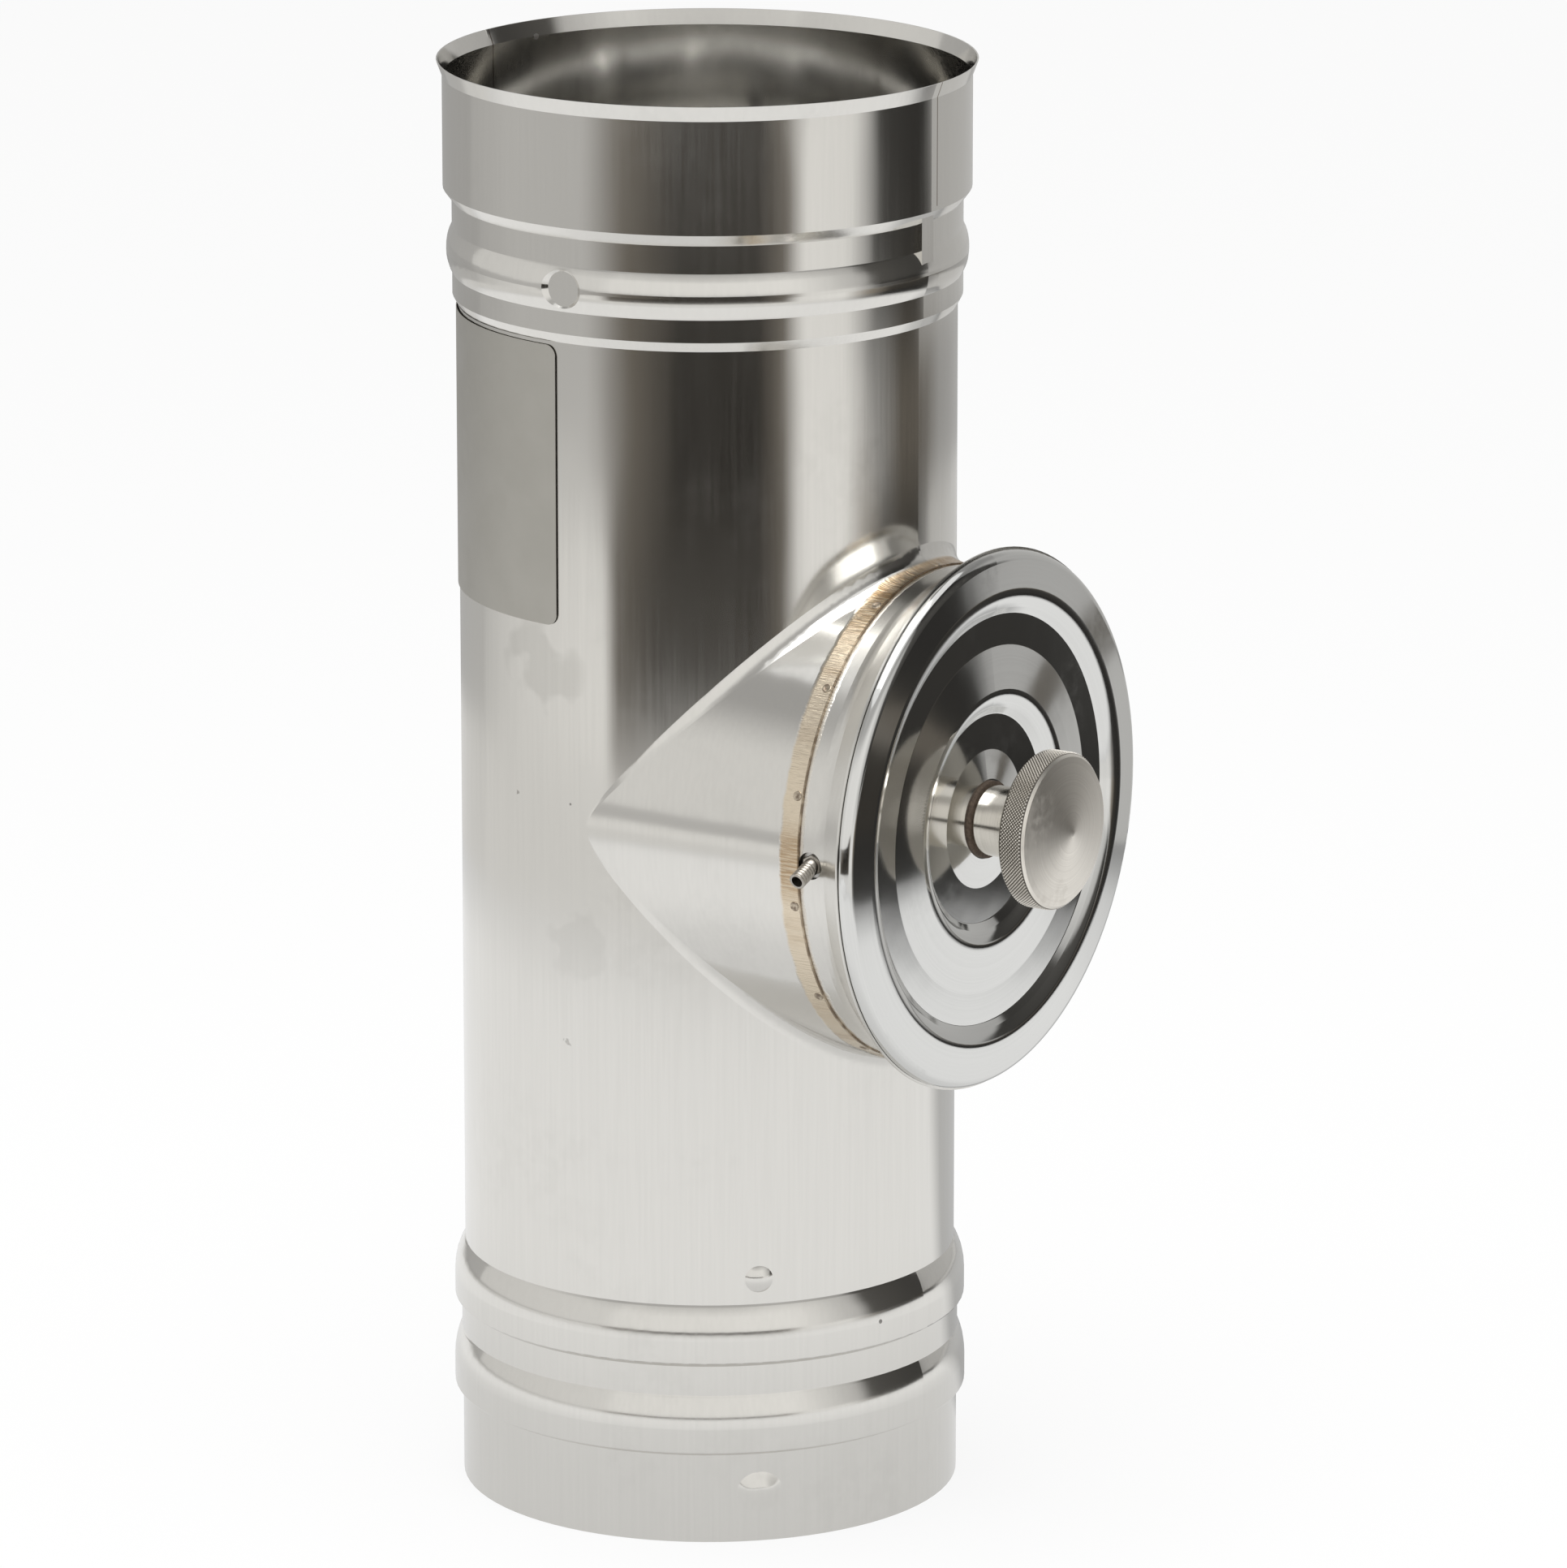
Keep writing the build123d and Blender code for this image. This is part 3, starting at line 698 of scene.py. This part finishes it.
def makePin(name, node, shape, side, droop):
    low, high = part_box(node)
    seatY = high[1] if side < 0 else low[1]
    seat = Vector(((low[0] + high[0]) / 2, seatY, doorHeight))
    bore = shape["boreRadius"]
    rib = (shape["length"] - shape["tipChamfer"] - shape["ribStart"]) / shape["ribs"]
    outline = [(0, bore), (0, shape["radius"])]
    for count in range(shape["ribs"]):
        start = shape["ribStart"] + rib * count
        outline += [(start, shape["radius"]), (start + rib * 0.3, shape["radius"] - shape["ribDepth"]),
                    (start + rib * 0.6, shape["radius"])]
    outline += [(shape["length"] - shape["tipChamfer"], shape["radius"]),
                (shape["length"], shape["radius"] - shape["tipChamfer"]),
                (shape["length"], bore), (0, bore)]
    pin = turnOutline(name, outline, shape["sides"])
    lean = math.radians(droop)
    standAt(pin, seat, (0, side * math.cos(lean), -math.sin(lean)))
    across = shape["footRadius"]
    top = shape["footHeight"]
    footOutline = [(0, bore), (0, across), (top * 0.8, across), (top, across * 0.93), (top, bore), (0, bore)]
    foot = turnOutline(name + "Foot", footOutline, shape["footSides"])
    standAt(foot, seat, (0, side, 0))
    joinInto(pin, [foot])
    dress(pin, pinSteel, "pipe", 35)
    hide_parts(node)


makePin("ribbedPinNear", "bar_pin_near", pinShape, -1, pinShape["droop"])
makePin("ribbedPinFar", "bar_pin_far", pinShape, 1, 0)
print("pins ribbed")

# raised lock mark pressed in the spigot, in line with the one on the body
spigotMark = {
    "surface": 66.2 * mm,
    "angle": -45,
    "level": 13.6 * mm,
    "radius": 5.8 * mm,
    "height": 1.6 * mm,
    "sunk": 0.35 * mm,
    "rings": 10,
    "sides": 48,
}


def makeSpigotMark(shape):
    outline = []
    for ring in range(shape["rings"] + 1):
        share = 1 - ring / shape["rings"]
        rise = shape["height"] * 0.5 * (1 + math.cos(math.pi * share ** 1.3))
        sunk = shape["sunk"] * share ** 6
        outline.append((rise - sunk, shape["radius"] * 1.08 * share))
    mark = turnOutline("spigotMark", outline, shape["sides"])
    turn = math.radians(shape["angle"])
    out = Vector((math.cos(turn), math.sin(turn), 0))
    standAt(mark, out * shape["surface"] + Vector((0, 0, shape["level"])), out)
    dress(mark, pipeSteel, "pipe", 60)


makeSpigotMark(spigotMark)
print("spigot mark pressed")

# ring shaped tack spots along the lap of neck and collar
tackSpots = {
    "count": 14,
    "firstAngle": 15.5,
    "along": 69.0 * mm,
    "radius": 1.35 * mm,
    "rise": 0.16 * mm,
    "sides": 20,
}


def makeTackSpots(shape):
    size = shape["radius"]
    rise = shape["rise"]
    outline = [(-rise, size), (rise * 0.6, size * 0.92), (rise, size * 0.74), (rise * 0.5, size * 0.55),
               (0, size * 0.38), (rise * 0.2, 0)]
    first = turnOutline("tackSpots", outline, shape["sides"])
    spots = [first]
    for count in range(1, shape["count"]):
        makeActive(first)
        bpy.ops.object.duplicate(linked=False)
        spots.append(bpy.context.object)
    for count, spot in enumerate(spots):
        turn = math.radians(shape["firstAngle"] + 360 / shape["count"] * count)
        out = Vector((0, -math.cos(turn), math.sin(turn)))
        standAt(spot, Vector((shape["along"], 0, doorHeight)) + out * neckRadius, out)
    joinInto(first, spots[1:])
    dress(first, tackFinish, "pipe", 50)


makeTackSpots(tackSpots)
print("tack spots set:", tackSpots["count"])

# pale floor that glows, white to the camera and near white in reflections, and still holding the shadow
# the near, socket and far lengths are where one zone of the studio's ring blends into the next
studio = {
    "floorSize": 12.0,
    "floorColour": (0.86, 0.86, 0.855, 1),
    "floorRoughness": 0.9,
    "floorGlow": 0.86,
    # brightness of the painted shadow round the object's foot, as seen in reflections
    "footShadowGlow": 0.8,
    "footInside": 0.1,
    "footOutside": 0.3,
    "edgeStart": 0.5544,
    "sweepStart": 0.66,
    "nearLow": 0.82,
    "nearHigh": 0.9,
    "socketLow": 1.2,
    "socketHigh": 1.28,
    "farLow": 1.48,
    "farHigh": 1.56,
    "sweepEnd": 2.6,
    "sweepRise": 0.004,
    "sweepBlend": 0.03,
    "wallSides": 96,
    "wallHeight": 3.6,
    "wallDim": 1.3,
    "wallDark": 2.6,
    "wallTopGlow": 0.55,
    "topLightPlace": (0.1, -0.2),
    "topLightSize": 1.1,
    "topLightHeight": 1.6,
    "topLightPower": 14,
    "worldStrength": 0.75,
}


def seenRays(tree):
    path = addNode(tree, "ShaderNodeLightPath")
    seen = calc(tree, "MAXIMUM", path.outputs["Is Camera Ray"], path.outputs["Is Glossy Ray"])
    return calc(tree, "MAXIMUM", seen, path.outputs["Is Transmission Ray"])


# each stop is (angle from +X in degrees, brightness, colour)
# the edge stops dim the floor's rim in reflections, and the tone stops the whole floor
neutral = (1.0, 0.99, 0.97)
edgeStops = [(-180, 0.82, neutral), (6, 0.82, neutral), (20, 0.3, neutral), (80, 0.35, neutral),
             (110, 0.7, neutral), (172, 0.8, neutral)]
toneStops = [(-180, 1.0, neutral), (60, 1.0, neutral), (72, 0.5, neutral), (108, 0.5, neutral),
             (132, 0.9, neutral), (172, 1.0, neutral)]


def angleRamp(tree, angle, stops):
    ramp = addNode(tree, "ShaderNodeValToRGB")
    while len(ramp.color_ramp.elements) < len(stops):
        ramp.color_ramp.elements.new(0.5)
    for element, (degrees, bright, colour) in zip(ramp.color_ramp.elements, stops):
        element.position = (degrees + 180) / 360
        element.color = (*[bright * part for part in colour], 1)
    feed(tree, angle, ramp.inputs["Fac"])
    return ramp.outputs["Color"]


clearSelection()
bpy.ops.mesh.primitive_plane_add(size=studio["floorSize"], location=(0, 0, 0))
floor = bpy.context.object
floor.name = "floor"
floorMat, floorTree, floorShader, floorPlace = newMaterial("floorPaper")
floorShader.inputs["Base Color"].default_value = studio["floorColour"]
floorShader.inputs["Roughness"].default_value = studio["floorRoughness"]
floorShader.inputs["Specular IOR Level"].default_value = 0
floorGlow = addNode(floorTree, "ShaderNodeEmission")
floorReach = addNode(floorTree, "ShaderNodeVectorMath", operation="LENGTH")
feed(floorTree, floorPlace, floorReach.inputs[0])
floorSplit = addNode(floorTree, "ShaderNodeSeparateXYZ")
feed(floorTree, floorPlace, floorSplit.inputs[0])
floorAngle = calc(floorTree, "ARCTAN2", floorSplit.outputs["Y"], floorSplit.outputs["X"])
floorShare = calc(floorTree, "MULTIPLY_ADD", floorAngle, 0.5 / math.pi, 0.5)
floorEdge = angleRamp(floorTree, floorShare, edgeStops)
floorFall = remap(floorTree, floorReach.outputs["Value"], studio["edgeStart"], studio["sweepStart"],
                  1.0, floorEdge)
# painted shadow: the floor's glow in reflections is dimmed round the foot of the object
footShadow = remap(floorTree, floorReach.outputs["Value"], studio["footInside"], studio["footOutside"],
                  studio["footShadowGlow"], 1.0)
floorFall = calc(floorTree, "MULTIPLY", floorFall, footShadow)
floorTone = angleRamp(floorTree, floorShare, toneStops)
floorFall = calc(floorTree, "MULTIPLY", floorFall, floorTone)
onlyCamera = addNode(floorTree, "ShaderNodeLightPath").outputs["Is Camera Ray"]
feed(floorTree, calc(floorTree, "MAXIMUM", onlyCamera, floorFall), floorGlow.inputs["Strength"])
floorMix = addNode(floorTree, "ShaderNodeMixShader")
feed(floorTree, calc(floorTree, "MULTIPLY", seenRays(floorTree), studio["floorGlow"]), floorMix.inputs[0])
feed(floorTree, floorShader.outputs[0], floorMix.inputs[1])
feed(floorTree, floorGlow.outputs[0], floorMix.inputs[2])
feed(floorTree, floorMix.outputs[0], floorTree.nodes["Material Output"].inputs["Surface"])
floor.data.materials.append(floorMat)

# flat ring and round wall of dark flags and softboxes that only the metal's reflections see
# the ring has four zones from the floor's edge outwards, and the high stops are the wall's
warmDark = (1.0, 0.89, 0.75)
coolDark = (1.0, 0.96, 0.9)
nearStops = [(-180, 0.8, neutral), (-110, 0.8, neutral), (-100, 0.86, neutral), (-13, 0.9, neutral),
             (6, 0.9, neutral), (18, 0.3, coolDark), (28, 0.04, coolDark), (56, 0.03, coolDark),
             (66, 0.6, neutral), (110, 0.7, neutral), (172, 0.75, neutral)]
bodyStops = [(-180, 0.62, neutral), (-150, 0.82, neutral), (-105, 0.96, neutral), (-99, 0.13, warmDark),
             (-80, 0.05, warmDark), (-34, 0.045, warmDark), (-24, 0.14, warmDark), (-16, 0.95, neutral),
             (6, 1.0, neutral), (18, 0.3, warmDark), (30, 0.05, warmDark), (56, 0.04, coolDark),
             (66, 0.6, neutral), (110, 0.65, neutral), (130, 0.45, neutral), (172, 0.55, neutral)]
socketStops = [(-180, 0.45, neutral), (-150, 0.55, neutral), (-112, 0.55, neutral), (-92, 0.16, warmDark),
               (-70, 0.02, warmDark), (-34, 0.02, warmDark), (-23, 0.16, warmDark), (-13, 0.95, neutral),
               (8, 0.95, neutral), (26, 0.45, neutral), (42, 0.16, warmDark), (60, 0.13, warmDark),
               (76, 0.36, neutral), (104, 0.45, neutral), (130, 0.4, neutral), (172, 0.4, neutral)]
farStops = [(-180, 0.5, neutral), (-150, 0.58, neutral), (-112, 0.56, neutral), (-92, 0.16, warmDark),
            (-70, 0.04, warmDark), (-34, 0.04, warmDark), (-23, 0.16, warmDark), (-13, 0.95, neutral),
            (8, 0.9, neutral), (16, 0.5, neutral), (22, 0.05, coolDark), (50.5, 0.03, coolDark),
            (53.5, 0.52, neutral), (120, 0.55, neutral), (130, 0.4, neutral), (172, 0.45, neutral)]
highStops = [(-180, 0.75, neutral), (-104, 0.85, neutral), (-98, 0.95, neutral), (-20, 1.0, neutral),
             (-13, 0.95, neutral), (13, 0.6, neutral), (20, 0.1, coolDark), (53.5, 0.05, coolDark),
             (56.5, 0.5, neutral), (120, 0.6, neutral), (130, 0.4, neutral), (172, 0.5, neutral)]

clearSelection()
bpy.ops.mesh.primitive_circle_add(vertices=studio["wallSides"], radius=studio["sweepStart"],
                                  location=(0, 0, 0))
wall = bpy.context.object
wall.name = "studioWall"
bpy.ops.object.mode_set(mode="EDIT")
bpy.ops.mesh.select_all(action="SELECT")
bpy.ops.transform.translate(value=(0, 0, mm))
bpy.ops.mesh.extrude_edges_move(TRANSFORM_OT_translate={"value": (0, 0, studio["sweepRise"])})
spread = studio["sweepEnd"] / studio["sweepStart"]
bpy.ops.transform.resize(value=(spread, spread, 1))
bpy.ops.mesh.extrude_edges_move(TRANSFORM_OT_translate={"value": (0, 0, studio["wallHeight"])})
bpy.ops.object.mode_set(mode="OBJECT")
wallMat, wallTree, wallShader, wallPlace = newMaterial("studioFlags")
split = addNode(wallTree, "ShaderNodeSeparateXYZ")
feed(wallTree, wallPlace, split.inputs[0])
angle = calc(wallTree, "ARCTAN2", split.outputs["Y"], split.outputs["X"])
share = calc(wallTree, "MULTIPLY_ADD", angle, 0.5 / math.pi, 0.5)
reach = calc(wallTree, "SQRT", calc(wallTree, "ADD", calc(wallTree, "POWER", split.outputs["X"], 2.0),
                                    calc(wallTree, "POWER", split.outputs["Y"], 2.0)))
tone = angleRamp(wallTree, share, nearStops)
for zone, stops in (("near", bodyStops), ("socket", socketStops), ("far", farStops)):
    zoneShare = remap(wallTree, reach, studio[zone + "Low"], studio[zone + "High"])
    tone = blendColour(wallTree, zoneShare, tone, angleRamp(wallTree, share, stops))
highShare = remap(wallTree, split.outputs["Z"], studio["sweepRise"],
                  studio["sweepRise"] + studio["sweepBlend"])
dimming = remap(wallTree, split.outputs["Z"], studio["wallDim"], studio["wallDark"],
                1.0, studio["wallTopGlow"])
glow = addNode(wallTree, "ShaderNodeEmission")
feed(wallTree, blendColour(wallTree, highShare, tone, angleRamp(wallTree, share, highStops)),
     glow.inputs["Color"])
feed(wallTree, dimming, glow.inputs["Strength"])
feed(wallTree, glow.outputs[0], wallTree.nodes["Material Output"].inputs["Surface"])
wallTree.nodes.remove(wallShader)
wall.data.materials.append(wallMat)
wall.visible_camera = False
wall.visible_diffuse = False
wall.visible_shadow = False
wall.visible_transmission = False

bpy.ops.object.light_add(type="AREA", location=(*studio["topLightPlace"], studio["topLightHeight"]))
topLight = bpy.context.object
topLight.data.size = studio["topLightSize"]
topLight.data.energy = studio["topLightPower"]

world = bpy.data.worlds.new("studioWorld")
scene.world = world
world.use_nodes = True
worldTree = world.node_tree
backdrop = worldTree.nodes["Background"]
backdrop.inputs["Color"].default_value = (1, 1, 1, 1)
worldGlow = remap(worldTree, seenRays(worldTree), 0.0, 1.0, studio["worldStrength"], 1.0)
feed(worldTree, worldGlow, backdrop.inputs["Strength"])
print("stage set")

# camera at the photograph's viewing angle
photoCamera = {
    "azimuth": 33.187,
    "elevation": 14.68,
    "distance": 2.6595,
    "focalPixels": 12372.8,
    "aimRight": 0.01979,
    "aimHeight": 0.18895,
    "imageHeight": 1932,
}
turn = math.radians(photoCamera["azimuth"])
lift = math.radians(photoCamera["elevation"])
towards = Vector((math.sin(turn) * math.cos(lift), -math.cos(turn) * math.cos(lift), math.sin(lift)))
rightWay = Vector((math.cos(turn), math.sin(turn), 0))
aim = rightWay * photoCamera["aimRight"] + Vector((0, 0, photoCamera["aimHeight"]))
bpy.ops.object.camera_add(location=aim + towards * photoCamera["distance"])
camera = bpy.context.object
camera.rotation_mode = "QUATERNION"
camera.rotation_quaternion = (-towards).to_track_quat("-Z", "Y")
camera.data.sensor_width = 36
camera.data.lens = camera.data.sensor_width * photoCamera["focalPixels"] / photoCamera["imageHeight"]
camera.data.clip_end = 50
scene.camera = camera
